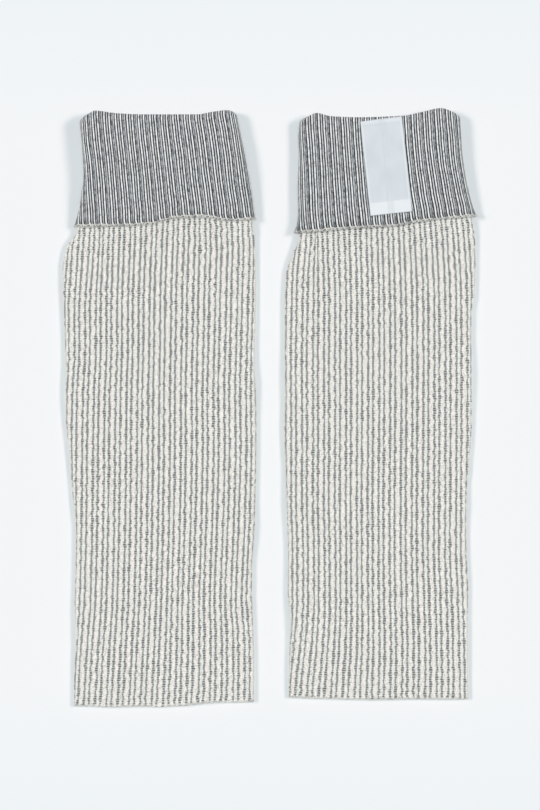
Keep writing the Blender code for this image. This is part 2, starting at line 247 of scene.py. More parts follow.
RIGHT = Warmer(
    side="right",
    hem=[
        LinePoint(-49, 0.5),
        LinePoint(-25, -0.3),
        LinePoint(-4, -0.8),
        LinePoint(17, -0.4),
        LinePoint(46, -0.6),
    ],
    mouth=[
        LinePoint(-46, 246.8),
        LinePoint(-32, 247.5),
        LinePoint(-21, 248.6),
        LinePoint(8, 250.3),
        LinePoint(17, 252.0),
        LinePoint(29, 253.6),
        LinePoint(51, 255.8),
    ],
    fold=[
        LinePoint(-43, 304.2),
        LinePoint(-39, 305.7),
        LinePoint(-34, 307.8),
        LinePoint(-26, 306.0),
        LinePoint(-12, 305.5),
        LinePoint(12, 306.3),
        LinePoint(22, 308.3),
        LinePoint(32, 310.3),
        LinePoint(42, 306.6),
    ],
    body=[
        Section(1.2, -48.7, 46.7, 0.0),
        Section(20, -48.5, 46.6, 0.0),
        Section(40, -47.7, 46.5, 0.0),
        Section(58, -49.2, 46.8, 0.0),
        Section(76, -49.0, 45.9, 0.0),
        Section(100, -49.7, 45.7, 0.0),
        Section(120, -50.2, 47.1, 0.0),
        Section(144, -51.4, 48.7, 0.0),
        Section(166, -50.6, 48.4, 0.0),
        Section(196, -51.0, 48.5, 0.0),
        Section(212, -50.9, 50.3, 0.0),
        Section(228, -50.0, 50.7, 0.0),
        Section(239, -46.4, 50.3, 0.9),
        Section(247.5, -42.8, 48.7, 2.4),
    ],
    cuff=[
        CuffSection(0.0, -45.8, 51.2, 0.76, 0.70),
        CuffSection(0.17, -43.7, 48.2, 0.78, 0.86),
        CuffSection(0.4, -43.9, 45.4, 0.78, 0.97),
        CuffSection(0.7, -43.5, 43.4, 0.84, 1.02),
        CuffSection(0.88, -43.9, 42.9, 0.80, 1.03),
        CuffSection(1.0, -43.2, 42.6, 0.92, 1.0),
    ],
    ribs=[
        RibRow(0, 0.4, 6.35, 6.15, 0.0),
        RibRow(10, 0.5, 6.24, 6.15, 0.0),
        RibRow(26, 0.95, 6.05, 6.03, 0.0),
        RibRow(52, 0.5, 5.74, 6.0, 0.0),
        RibRow(79, 0.3, 5.72, 5.87, 0.0),
        RibRow(105, 0.25, 5.79, 5.9, 0.0),
        RibRow(137, 0.55, 5.82, 5.88, 0.0),
        RibRow(185, 0.75, 5.87, 5.84, 0.0),
        RibRow(214, 0.5, 5.8, 5.84, 0.2),
        RibRow(227, 0.2, 5.8, 5.78, 0.8),
        RibRow(238, -0.15, 5.8, 5.73, 2.1),
        RibRow(250, -0.6, 5.82, 5.62, 3.4),
    ],
    ridges=[
        RidgeRow(0.0, 3.3, 6.5, 6.52),
        RidgeRow(0.1, 2.75, 6.5, 6.48),
        RidgeRow(0.26, 1.65, 6.42, 6.36),
        RidgeRow(0.64, -0.45, 6.23, 6.17),
        RidgeRow(1.0, -1.75, 6.22, 6.13),
    ],
    creases=[
        Crease(14, 214, -8, 34, 10, 0.45),
        Crease(18, 128, 10, 32, 12, -0.5),
        Crease(-14, 92, -6, 30, 11, 0.4),
        Crease(0, 46, 5, 34, 9, -0.5),
        Crease(-42, 18, 60, 10, 4, 0.6),
        Crease(-51, 170, 90, 12, 6, 1.1),
        Crease(-50, 104, 90, 12, 6, 0.8),
        Crease(-48, 42, 90, 11, 5, 1.0),
        Crease(49, 172, 90, 15, 6, 1.6),
        Crease(47, 102, 90, 6, 5, 1.1),
        Crease(49, 200, 90, 5, 5, 0.7),
    ],
    seed=23,
)
WARMERS = (LEFT, RIGHT)


def srgb(red, green, blue):
    """A colour of 0 to 255, as a screen shows it, in the linear values that shaders take."""
    shares = (red / 255, green / 255, blue / 255)
    return tuple(s / 12.92 if s <= 0.04045 else ((s + 0.055) / 1.055) ** 2.4 for s in shares)


class ClothSizes(PropertyGroup):
    """How thick the knit is, how deep its ribs are and how far apart its courses."""

    tube_wall: FloatProperty(
        name="Tube wall", description="Thickness over a rib", default=2.2 * MM, unit="LENGTH"
    )
    rib_relief: FloatProperty(
        name="Rib relief", description="From a rib's top down to a valley", default=0.8 * MM, unit="LENGTH"
    )
    cuff_wall: FloatProperty(
        name="Cuff wall", description="Thickness over a ridge", default=2.1 * MM, unit="LENGTH"
    )
    ridge_relief: FloatProperty(
        name="Ridge relief", description="From a ridge's top down to a gap", default=0.6 * MM, unit="LENGTH"
    )
    hollow: FloatProperty(
        name="Hollow", description="Between the layers of a tube laid flat", default=0.5 * MM, unit="LENGTH"
    )
    seam: FloatProperty(
        name="Seam", description="Between pieces that touch", default=0.3 * MM, unit="LENGTH"
    )
    crown: FloatProperty(
        name="Crown", description="How much higher the middle lies", default=0.8 * MM, unit="LENGTH"
    )
    scallop: FloatProperty(
        name="Scallop", description="How far a rib sways from course to course", default=0.15 * MM, unit="LENGTH"
    )
    course: FloatProperty(
        name="Course", description="Height of one course of stitches", default=1.25 * MM, unit="LENGTH"
    )
    taper: FloatProperty(
        name="Taper", description="How much flatter a tube is at its sides and hem", default=0.28, subtype="FACTOR"
    )
    hook: FloatProperty(
        name="Hook", description="How far ridges bend aside at a cut edge", default=0.8 * MM, unit="LENGTH"
    )


class ClothColours(PropertyGroup):
    """The colours of the yarns and the label."""

    wide_rib: FloatVectorProperty(
        name="Wide rib", description="Cream yarn", subtype="COLOR", default=srgb(239, 237, 232)
    )
    narrow_rib: FloatVectorProperty(
        name="Narrow rib", description="Cooler cream yarn", subtype="COLOR", default=srgb(236, 237, 233)
    )
    valley: FloatVectorProperty(
        name="Valley", description="Marl between the ribs", subtype="COLOR", default=srgb(205, 206, 204)
    )
    valley_dark: FloatVectorProperty(
        name="Valley dots", description="Dark yarn in a valley", subtype="COLOR", default=srgb(66, 69, 71)
    )
    ridge: FloatVectorProperty(
        name="Ridge", description="Cream lines of the reverse", subtype="COLOR", default=srgb(248, 250, 248)
    )
    marl: FloatVectorProperty(
        name="Marl", description="Bands of the reverse", subtype="COLOR", default=srgb(157, 161, 165)
    )
    gap: FloatVectorProperty(
        name="Gap", description="Dark yarn of the reverse", subtype="COLOR", default=srgb(38, 41, 48)
    )
    label: FloatVectorProperty(
        name="Label", description="Woven satin", subtype="COLOR", default=srgb(219, 226, 232)
    )


class LabelSizes(PropertyGroup):
    """The label and where it lies on the right cuff."""

    width: FloatProperty(name="Width", description="Across", default=22.1 * MM, unit="LENGTH")
    length: FloatProperty(name="Length", description="Along", default=50.1 * MM, unit="LENGTH")
    thickness: FloatProperty(
        name="Thickness", description="Of the woven tape", default=0.6 * MM, unit="LENGTH"
    )
    hem: FloatProperty(
        name="Turned end", description="Folded under at its lower end", default=6.4 * MM, unit="LENGTH"
    )
    turn: FloatProperty(
        name="Turn", description="Away from the cuff's ridges", default=math.radians(6.2), unit="ROTATION"
    )
    across: FloatProperty(
        name="Across", description="Its middle, from the centre line", default=2.8 * MM, unit="LENGTH"
    )
    up: FloatProperty(
        name="Up", description="Its middle, from the hem", default=281.45 * MM, unit="LENGTH"
    )


class StageSizes(PropertyGroup):
    """Camera, lights and floor."""

    view_height: FloatProperty(
        name="View height", description="What the frame takes in", default=429.3 * MM, unit="LENGTH"
    )
    distance: FloatProperty(
        name="Distance", description="Camera above the floor", default=1.8, unit="LENGTH"
    )
    ambient: FloatProperty(name="Ambient", description="Strength of the light all round", default=0.25)
    top_light: FloatProperty(name="Top light", description="Strength of the light from above", default=1.01)
    side_light: FloatProperty(name="Side lights", description="Strength of each one", default=1.16)
    cool: FloatVectorProperty(
        name="Cool", description="Top light and light all round", subtype="COLOR", default=(0.82, 0.972, 1.0)
    )
    warm: FloatVectorProperty(name="Warm", description="Side lights", subtype="COLOR", default=(1.0, 0.845, 0.80))
    floor: FloatVectorProperty(
        name="Floor", description="Pale floor", subtype="COLOR", default=(0.893, 0.910, 0.930)
    )


# Shapes


def column(table, name):
    return np.array([getattr(row, name) for row in table], float)


def gentler(first, second):
    """The slope where two straight stretches meet, 0 where they turn back."""
    both = first * second
    return np.where(both > 0, 2 * both / np.where(both > 0, first + second, 1.0), 0.0)


def curve(table, along, value, at):
    """A smooth curve through a table's rows that never overshoots them, read at any places."""
    x, y = column(table, along), column(table, value)
    at = np.clip(at, x[0], x[-1])
    i = np.clip(np.searchsorted(x, at, side="right") - 1, 0, len(x) - 2)
    slopes = np.diff(y) / np.diff(x)
    here = slopes[i]
    start = gentler(slopes[np.maximum(i - 1, 0)], here)
    stop = gentler(here, slopes[np.minimum(i + 1, len(slopes) - 1)])
    step = x[i + 1] - x[i]
    t = (at - x[i]) / step
    return (
        y[i] * (1 + 2 * t) * (1 - t) ** 2
        + step * start * t * (1 - t) ** 2
        + y[i + 1] * t * t * (3 - 2 * t)
        + step * stop * t * t * (t - 1)
    )


def eased(share):
    """0 below 0, 1 above 1, and smooth between."""
    share = np.clip(share, 0.0, 1.0)
    return share * share * (3 - 2 * share)


def wander(rng, rows, columns, spread):
    """Smooth noise of size 1 down each column, which changes over so many rows."""
    kernel = np.hanning(2 * spread + 3)[1:-1]
    kernel /= np.sqrt((kernel**2).sum())
    noise = rng.standard_normal((rows + 2 * spread, columns))
    return np.stack([np.convolve(line, kernel, "valid") for line in noise.T], axis=1)[:rows]


def sway(rng, rows, columns):
    """Noise of size 1 down each column that swings back about every other row, as stitches do."""
    white = rng.standard_normal((rows + 2, columns))
    return (white[2:] - 0.55 * white[:-2]) / 1.14


def mouth_height(warmer):
    return float(curve(warmer.mouth, "across", "up", 0.0))


def along(warmer, level, across):
    """The way up from the hem line, in metres. level goes from 0 at the hem to 1 at the mouth of the cuff
    and 2 at its fold, and the three lines bend and tilt."""
    hem, mouth, fold = (
        curve(line, "across", "up", across / MM) for line in (warmer.hem, warmer.mouth, warmer.fold)
    )
    low = np.minimum(level, 1.0)
    high = np.maximum(level - 1.0, 0.0)
    return (hem + (mouth - hem) * low + (fold - mouth) * high) * MM


def radius_of(ring):
    return (ring.high - ring.low) / 2


def length_of(ring):
    radius = radius_of(ring)
    return 2 * (ring.right - ring.left - 2 * radius) + 2 * np.pi * radius


def on_ring(ring, run, inset, crown):
    """Where a flattened ring passes, as (across, height, share on top). run is the way along it from the
    centre line over the top, round the sides and underneath, and inset moves a point into the cloth."""
    radius = radius_of(ring)
    centre = (ring.left + ring.right) / 2
    length = length_of(ring)
    run = np.where(run > centre + length / 2, run - length, run)
    side = np.where(run < centre, -1.0, 1.0)
    turning = np.where(side < 0, ring.left + radius, ring.right - radius)
    past = side * (run - turning)
    angle = np.clip(past / radius, 0.0, np.pi)
    across = turning + side * (np.minimum(past, 0.0) + (radius - inset) * np.sin(angle))
    across -= side * np.maximum(past - np.pi * radius, 0.0)
    height = ring.low + radius + (radius - inset) * np.cos(angle)
    off_centre = (across - centre) / ((ring.right - ring.left) / 2)
    on_top = 0.5 + 0.5 * np.cos(angle)
    return across, height + crown * on_top * (1 - off_centre**4), on_top


def cuff_ring(warmer, cloth, share):
    """The outside of the cuff at a share of the way from its mouth to its fold."""
    left = curve(warmer.cuff, "share", "left", share) * MM
    right = curve(warmer.cuff, "share", "right", share) * MM
    height = 4 * (cloth.tube_wall / 2) + cloth.hollow + 2 * (cloth.cuff_wall + cloth.seam)
    return Ring(left, right, 0 * left, 0 * left + height)


def tube_ring(warmer, cloth, level):
    """The outside of the tube at a level, which goes on inside the cuff above level 1."""
    mouth = mouth_height(warmer)
    inside = (cloth.cuff_wall + cloth.seam) / MM
    rows = [row._replace(up=row.up / mouth) for row in warmer.body]
    start = np.array(cuff_ring(warmer, cloth, 0.05)[:2]) / MM
    for row in (CuffSection(0.05, *start, 1.0, 1.0), *warmer.cuff[1:]):
        rows.append(Section(1 + row.share, row.left + inside, row.right - inside, inside))
    left, right, low = (curve(rows, "up", name, level) * MM for name in ("left", "right", "low"))
    return Ring(left, right, low, low + 2 * cloth.tube_wall + cloth.hollow)


def side_height(warmer, cloth, ring, level, across):
    """The share of its height that a warmer keeps: less at the sides and hem of its tube, and at its cuff's
    sides what the table says."""
    share = np.clip(level - 1, 0.0, 1.0)
    inside = eased((level - 0.94) / 0.06)
    reach = (9 + 13 * inside) * MM
    at_hem = cloth.taper * (1 - eased(level * mouth_height(warmer) / 12))
    factor = 1 - at_hem
    for name, off in (("left_height", across - ring.left), ("right_height", ring.right - across)):
        height = curve(warmer.cuff, "share", name, share)
        height = (1 - cloth.taper) * (1 - inside) + height * inside
        factor = factor + (height - 1 + at_hem) * (1 - eased(off / reach))
    return factor


def creased(warmer, across, up, on_top):
    """How much soft creases lift the cloth. Underneath they only rise, as it rests there."""
    rise = 0.0
    for crease in warmer.creases:
        turn = math.radians(crease.turn)
        a, b = across / MM - crease.across, up / MM - crease.up
        down_it = (a * math.cos(turn) + b * math.sin(turn)) / crease.length
        off_it = (b * math.cos(turn) - a * math.sin(turn)) / crease.width
        rise = rise + crease.rise * np.exp(-(down_it**2) - off_it**2)
    return MM * (rise * on_top + 0.4 * np.abs(rise) * (1 - on_top))


def feature_table(repeat, first, count):
    """Each feature's place in repeats, its depth, and its own share, over a number of repeats."""
    return [(first + i + f.share, f.depth, f.share) for i in range(count) for f in repeat]


def wrapped_cloth(name, points, texture):
    """A closed ring of cloth: one grid, whose rows and columns go to points, and whose first and last rows
    and columns meet. texture holds each corner's texture coordinates."""
    rows, columns = points.shape[:2]
    bm = bmesh.new()
    bm.loops.layers.uv.new("knit")
    bmesh.ops.create_grid(bm, x_segments=columns - 1, y_segments=rows - 1, size=0.5)
    mesh = bpy.data.meshes.new(name)
    bm.to_mesh(mesh)
    bm.free()
    corners = np.empty(len(mesh.vertices) * 3, np.float32)
    mesh.vertices.foreach_get("co", corners)
    corners = corners.reshape(-1, 3)
    column_of = np.rint((corners[:, 0] + 0.5) * (columns - 1)).astype(int)
    row_of = np.rint((corners[:, 1] + 0.5) * (rows - 1)).astype(int)
    mesh.vertices.foreach_set("co", points[row_of, column_of].astype(np.float32).ravel())
    loops = np.empty(len(mesh.loops), np.int32)
    mesh.loops.foreach_get("vertex_index", loops)
    flat = texture[row_of, column_of][loops].astype(np.float32)
    mesh.uv_layers["knit"].data.foreach_set("uv", flat.ravel())
    return tidied(mesh, merge=True)


def tidied(mesh, merge):
    bm = bmesh.new()
    bm.from_mesh(mesh)
    if merge:
        bmesh.ops.remove_doubles(bm, verts=bm.verts, dist=1e-6)
    bmesh.ops.recalc_face_normals(bm, faces=bm.faces)
    bm.to_mesh(mesh)
    bm.free()
    mesh.shade_smooth()
    return mesh


def place_of(warmer):
    """Where a warmer's centre line meets its hem line, from the box of its packed tube."""
    low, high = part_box(warmer.side + "_tube")
    middle = (column(warmer.body, "left").min() + column(warmer.body, "right").max()) / 2
    return np.array([(low.x + high.x) / 2 - middle * MM, low.y - column(warmer.hem, "up").min() * MM, 0.0])


def add_piece(name, mesh, look):
    mesh.materials.append(look)
    piece = bpy.data.objects.new(name, mesh)
    bpy.context.scene.collection.objects.link(piece)
    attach(piece, "root")
    return piece


# The tube, from its hem to the fold of the cuff


def tube_rows(warmer, cloth):
    """Every row of the tube's grid, as arrays: level, extra way up, inset, and share of the ribs' relief."""
    mouth = mouth_height(warmer) * MM
    wall = cloth.tube_wall
    half = wall / 2
    courses = round(mouth / cloth.course)
    rows = []
    for angle in np.radians([0, 25, 50, 75]):
        rows.append((0.0, half * (1 - math.cos(angle)), half * (1 - math.sin(angle)), 0.5 * math.sin(angle)))
    for up, relief in ((0.7, 0.7), (1.0, 0.9), (1.4, 1.0)):
        rows.append((up * MM / mouth, 0.0, 0.0, relief))
    rows += [(i / courses, 0.0, 0.0, 1.0) for i in range(2, courses + 1)]
    rows += [(1 + share, 0.0, 0.0, max(1 - share / 0.3, 0.0)) for share in (0.03, 0.1, 0.2, 0.3, 0.5, 0.7, 0.9)]
    rows += [(2.0, -0.6 * MM, 0.0, 0.0), (2.0, -0.6 * MM, wall, 0.0)]
    rows += [(level, 0.0, wall, 0.0) for level in np.linspace(1.9, 0.06, 22)]
    rows += [(0.012, 0.0, wall, 0.0)]
    rows += [
        (0.0, half * (1 - math.cos(angle)), half * (1 + math.sin(angle)), 0.0)
        for angle in np.radians([75, 50, 25, 0])
    ]
    return np.array(rows).T


def tube_runs(warmer, ring, level, places):
    """The way round its ring of every place, which counts repeats. The tables follow the middle narrow
    rib, and what they leave is shared out underneath."""
    up = np.minimum(level, 1.0) * mouth_height(warmer)
    centre, left, right, squeeze = (
        curve(warmer.ribs, "up", name, up)[:, None] * MM
        for name in ("centre", "pitch_left", "pitch_right", "squeeze")
    )
    first, last = places[0], places[0] + TOP_RIBS
    end = centre + (last - 0.5) * right
    runs = centre + (places - 0.5) * np.where(places > 0.5, right, left)
    runs = runs + squeeze * eased((PINCH_START - places) / PINCH_WIDTH)
    under = (length_of(ring)[:, None] - (end - runs[:, :1])) / (REPEATS - TOP_RIBS)
    return np.where(places > last, end + (places - last) * under, runs)


def tube_mesh(warmer, cloth):
    rng = np.random.default_rng(warmer.seed)
    first = -(TOP_RIBS // 2)
    table = feature_table(RIB_REPEAT, first, TOP_RIBS)
    table += feature_table(RIB_REPEAT_UNDER, first + TOP_RIBS, REPEATS - TOP_RIBS)
    table.append((table[0][0] + REPEATS, table[0][1], table[0][2]))
    places, depths, shares = (np.array(values) for values in zip(*table))
    level, extra, inset, relief = tube_rows(warmer, cloth)
    ring = tube_ring(warmer, cloth, level)
    runs = tube_runs(warmer, ring, level, places)

    # Each rib sways as one, wide ribs more than narrow ones, and its two sides a little by themselves
    number = (np.floor(places + 0.5).astype(int) - first) % REPEATS
    between = (np.floor(places).astype(int) - first) % REPEATS
    whole, narrow, left, right = (sway(rng, len(level), REPEATS) for _ in range(4))
    slow = wander(rng, len(level), REPEATS, 6)[:, number]
    off = np.abs((shares + 0.5) % 1.0 - 0.5)
    own = np.where(shares % 1.0 > 0.5, left[:, number], right[:, number])
    shift = whole[:, number] * np.interp(off, [0.0, 0.2, 0.275, 0.33], [0.8, 1.0, 0.7, 0.0])
    shift += own * np.interp(off, [0.06, 0.155, 0.275, 0.34], [0.0, 0.6, 0.6, 0.0])
    shift += narrow[:, between] * np.interp(off, [0.275, 0.335, 0.5], [0.0, 0.5, 0.5]) + 0.25 * slow * (off < 0.3)
    outside = (relief > 0)[:, None]
    runs = runs + cloth.scallop * shift * outside
    depth = cloth.rib_relief * depths * relief[:, None]
    depth += 0.06 * MM * sway(rng, len(level), REPEATS)[:, number] * outside * (depths < 0.3)
    wide = Ring(*(side[:, None] for side in ring))
    across, height, on_top = on_ring(wide, runs, inset[:, None] + depth, cloth.crown)
    up = along(warmer, level[:, None], across) + extra[:, None]
    ragged = 0.3 * (0.5 - depths) + 0.2 * wander(rng, REPEATS, 1, 0)[number, 0]
    up -= ragged * MM * (1 - eased(level * mouth_height(warmer) / 2.0))[:, None]
    height = height * side_height(warmer, cloth, wide, level[:, None], across)
    lift = creased(warmer, across, up, on_top) * np.clip((1.05 - level) / 0.1, 0.0, 1.0)[:, None]
    points = np.stack([across, up, np.maximum(height + lift, 0.0)], axis=2) + place_of(warmer)
    points[:, -1] = points[:, 0]
    points = np.concatenate([points, points[:1]])
    v = np.where(inset > cloth.tube_wall / 2 + 1e-6, -1.0, level * mouth_height(warmer) * MM + extra)
    v = np.concatenate([v, v[:1]]) / cloth.course
    texture = np.stack(np.broadcast_arrays(places[None, :], v[:, None]), axis=2)
    return wrapped_cloth(warmer.side + "_rib_tube", points, texture)


# The turned-down cuff, from its free edge over the fold


def cuff_rows(warmer, cloth):
    """Every row of the cuff's grid: level, extra way up, inset, share of relief, and way from the edge."""
    wall = cloth.cuff_wall
    half = wall / 2
    mouth, fold = (float(curve(line, "across", "up", 0.0)) * MM for line in (warmer.mouth, warmer.fold))
    deep = fold - mouth
    roll = (cloth.cuff_wall + cloth.seam + cloth.tube_wall) / 2
    rows = []
    for angle in np.radians([0, 30, 60]):
        way = half * (1 - math.cos(angle))
        rows.append((1.0, way, half * (1 - math.sin(angle)), 0.5 * math.sin(angle), way))
    steps = round(deep / cloth.course * 1.5)
    for way in np.linspace(half, deep, steps):
        rows.append((1 + way / deep, 0.0, 0.0, 1.0, way))
    for angle in np.radians([15, 30, 45, 60, 75, 90, 110, 130, 155, 180]):
        relief = max(math.cos(angle / 2), 0.0)
        inset = roll * (1 - math.cos(angle))
        rows.append((2.0, roll * math.sin(angle), inset, relief, deep + roll * angle))
    for level in np.linspace(2.0, 1.06, 10):
        rows.append((level, 0.0, wall, 0.0, -1.0))
    for angle in np.radians([60, 30, 0]):
        way = half * (1 - math.cos(angle))
        rows.append((1.0, way, half * (1 + math.sin(angle)), 0.0, -1.0 if angle else 0.0))
    return np.array(rows[:-1]).T


def cuff_runs(warmer, ring, share, places):
    """The way round its ring of every place. The tables follow a ridge near the middle."""
    centre, left, right = (
        curve(warmer.ridges, "share", name, share)[:, None] * MM
        for name in ("centre", "pitch_left", "pitch_right")
    )
    last = places[0] + TOP_RIDGES
    runs = centre + places * np.where(places > 0, right, left)
    end = centre + last * right
    under = (length_of(ring)[:, None] - (end - runs[:, :1])) / (REPEATS - TOP_RIDGES)
    return np.where(places > last, end + (places - last) * under, runs)


def cuff_mesh(warmer, cloth):
    rng = np.random.default_rng(warmer.seed + 1)
    first = -(TOP_RIDGES // 2)
    table = feature_table(RIDGE_REPEAT, first, TOP_RIDGES)
    table += feature_table(RIDGE_REPEAT_UNDER, first + TOP_RIDGES, REPEATS - TOP_RIDGES)
    table.append((table[0][0] + REPEATS, table[0][1], table[0][2]))
    places, depths, shares = (np.array(values) for values in zip(*table))
    level, extra, inset, relief, way = cuff_rows(warmer, cloth)
    share = np.clip(level - 1, 0.0, 1.0)
    ring = cuff_ring(warmer, cloth, share)
    runs = cuff_runs(warmer, ring, share, places)
    number = np.rint(places - shares).astype(int) - first
    number[-1] = 0
    bend = np.where(way >= 0, np.clip(1 - way / (2.6 * MM), 0.0, 1.0) ** 2, 1.0) * (inset < cloth.cuff_wall)
    slow = wander(rng, len(level), REPEATS, 8)[:, number] * (relief > 0)[:, None]
    runs = runs + cloth.hook * bend[:, None] + 0.05 * MM * slow
    depth = cloth.ridge_relief * depths * relief[:, None]
    wide = Ring(*(side[:, None] for side in ring))
    across, height, on_top = on_ring(wide, runs, inset[:, None] + depth, cloth.crown)
    up = along(warmer, level[:, None], across) + extra[:, None]
    height = height * side_height(warmer, cloth, wide, level[:, None], across)
    points = np.stack([across, up, height], axis=2) + place_of(warmer)
    points[:, -1] = points[:, 0]
    points = np.concatenate([points, points[:1]])
    v = np.concatenate([way, way[:1]]) / cloth.course
    texture = np.stack(np.broadcast_arrays(places[None, :], v[:, None]), axis=2)
    return wrapped_cloth(warmer.side + "_turned_cuff", points, texture)


# The label and the yarn along the cut edges


def on_cuff(warmer, cloth, across, up, out):
    """Points of the cuff's front, moved out by out. Above the fold line, up goes on round the fold."""
    fold, mouth = along(warmer, 2.0, across), along(warmer, 1.0, across)
    ring = cuff_ring(warmer, cloth, np.minimum((up - mouth) / (fold - mouth), 1.0))
    height = on_ring(ring, across, 0.0, cloth.crown)[1]
    roll = (cloth.cuff_wall + cloth.seam + cloth.tube_wall) / 2
    angle = np.maximum(up - fold, 0.0) / roll
    reach = roll + out
    return np.stack(
        [across, np.minimum(up, fold) + reach * np.sin(angle), height - roll + reach * np.cos(angle)], axis=1
    )


def label_mesh(warmer, cloth, label):
    """A tape of woven satin with both ends turned under, which bends over the fold of the cuff."""
    bm = bmesh.new()
    bmesh.ops.create_grid(bm, x_segments=36, y_segments=92, size=0.5)
    bmesh.ops.solidify(bm, geom=bm.faces[:], thickness=1.0)
    mesh = bpy.data.meshes.new("woven_label")
    bm.loops.layers.uv.new("knit")
    bm.to_mesh(mesh)
    bm.free()
    corners = np.empty(len(mesh.vertices) * 3, np.float32)
    mesh.vertices.foreach_get("co", corners)
    x, y, z = corners.reshape(-1, 3).astype(float).T
    a, b = x * label.width, y * label.length
    from_end = label.length / 2 - np.abs(b)
    turned = 1 - eased((from_end - label.hem * np.where(b < 0, 1.0, 0.4) + 0.3 * MM) / (0.6 * MM))
    thick = label.thickness + np.where(b < 0, 0.3, 0.15) * MM * turned
    thick += 0.06 * MM * eased((np.abs(a) - label.width / 2 + 0.8 * MM) / (0.5 * MM))
    thick -= 0.10 * MM * np.exp(-(((a - 0.6 * MM - 0.02 * b) / (0.9 * MM)) ** 2)) * (1 - turned)
    sway = 0.12 * MM * np.sin(b / (7.0 * MM) + a / (9.0 * MM))
    across = label.across + a * math.cos(label.turn) - b * math.sin(label.turn)
    up = label.up + a * math.sin(label.turn) + b * math.cos(label.turn)
    out = cloth.seam + 0.15 * MM + sway + np.where(z > z.mean(), thick, 0.0)
    points = on_cuff(warmer, cloth, across, up, out) + place_of(warmer)
    mesh.vertices.foreach_set("co", points.astype(np.float32).ravel())
    loops = np.empty(len(mesh.loops), np.int32)
    mesh.loops.foreach_get("vertex_index", loops)
    flat = (np.stack([a, b], axis=1) / MM)[loops]
    mesh.uv_layers["knit"].data.foreach_set("uv", flat.astype(np.float32).ravel())
    return tidied(mesh, merge=False)


def strand_mesh(name, middle, outward, radius):
    """A closed yarn of that radius: a grid that is rolled up along its middle line."""
    ahead = np.roll(middle, -1, axis=0) - np.roll(middle, 1, axis=0)
    ahead /= np.linalg.norm(ahead, axis=1, keepdims=True)
    aside = np.cross(ahead, outward)
    aside /= np.linalg.norm(aside, axis=1, keepdims=True)
    outward = np.cross(aside, ahead)
    turn = np.radians(np.arange(0, 361, 45))[None, :, None]
    ring = np.cos(turn) * outward[:, None] + np.sin(turn) * aside[:, None]
    points = middle[:, None] + radius[:, None, None] * ring
    points[:, -1] = points[:, 0]
    points = np.concatenate([points, points[:1]])
    length = np.cumsum(np.linalg.norm(np.diff(middle, axis=0, append=middle[:1]), axis=1))
    length = np.concatenate([[0.0], length])
    texture = np.stack(np.broadcast_arrays(np.linspace(0, 1, points.shape[1])[None, :], length[:, None] / MM), axis=2)
    return wrapped_cloth(name, points, texture)


def edge_strand(name, warmer, cloth, rng, level, lines, radius, wave, below, inset, swing, phase):
    """Yarn along a cut edge, which waves once at every line of stitches, each wave a little different."""
    steps = 12
    count = REPEATS * len(lines)
    turn = np.arange(count * steps) / steps  # one for each wave
    starts = np.array([i + share for i in range(REPEATS + 1) for share in lines])
    first = -(TOP_RIBS // 2)
    places = first + np.interp(turn, np.arange(len(starts)), starts)
    if level < 1:
        ring = tube_ring(warmer, cloth, np.zeros(1))
        runs = tube_runs(warmer, ring, np.zeros(1), np.append(places, first + REPEATS))[0, :-1]
    else:
        ring = cuff_ring(warmer, cloth, np.zeros(1))
        runs = cuff_runs(warmer, ring, np.zeros(1), np.append(places, first + REPEATS))[0, :-1] + cloth.hook
    uneven = 1 + 0.3 * rng.standard_normal(count + 1)
    uneven[-1] = uneven[0]
    size = np.interp(turn, np.arange(count + 1), uneven)
    angle = 2 * np.pi * (turn + phase)
    runs = runs + swing * size * np.sin(angle)
    ring = Ring(*(np.full(len(runs), side[0]) for side in ring))
    depth = inset + 0.5 * wave * np.sin(2 * angle)
    across, height, _ = on_ring(ring, runs, depth, cloth.crown)
    outer = on_ring(ring, runs, depth - 0.2 * MM, cloth.crown)
    keep = side_height(warmer, cloth, ring, np.full(len(runs), float(level)), across)
    up = along(warmer, float(level), across) - below + wave * size * np.cos(angle)
    thick = radius * (1 + 0.12 * np.sin(angle + 1.0)) * (0.7 + 0.3 * size)
    clear = np.maximum(keep * height, 1.15 * thick)  # above the floor
    middle = np.stack([across, up, clear], axis=1) + place_of(warmer)
    outward = np.stack([outer[0] - across, 0 * across, outer[1] - height], axis=1)
    return strand_mesh(name, middle, outward, thick)


def joined(name, meshes):
    bm = bmesh.new()
    for mesh in meshes:
        bm.from_mesh(mesh)
    made = bpy.data.meshes.new(name)
    bm.to_mesh(made)
    bm.free()
    made.shade_smooth()
    return made


def cuff_edging_mesh(warmer, cloth):
    """Two yarns that bind the free edge of a cuff."""
    rng = np.random.default_rng(warmer.seed + 2)
    lines = (0.0, 0.435)
    args = (warmer, cloth, rng, 1, lines)
    return joined(
        warmer.side + "_cuff_edging",
        [
            edge_strand("yarn", *args, 0.25 * MM, 0.50 * MM, -0.3 * MM, 0.15 * MM, 0.8 * MM, 0.15),
            edge_strand("yarn", *args, 0.22 * MM, 0.36 * MM, 0.05 * MM, 0.75 * MM, 0.5 * MM, 0.6),
        ],
    )


def hem_edging_mesh(warmer, cloth):
    """The chain of yarn that casts off a hem."""
    rng = np.random.default_rng(warmer.seed + 3)
    lines = (0.0, 0.5)
    args = (warmer, cloth, rng, 0, lines)
    return joined(
        warmer.side + "_hem_edging",
        [
            edge_strand("yarn", *args, 0.24 * MM, 0.26 * MM, -0.1 * MM, 0.55 * MM, 0.3 * MM, 0.5),
            edge_strand("yarn", *args, 0.24 * MM, 0.26 * MM, -0.1 * MM, 1.55 * MM, 0.3 * MM, 0.3),
        ],
    )


# Shader maths


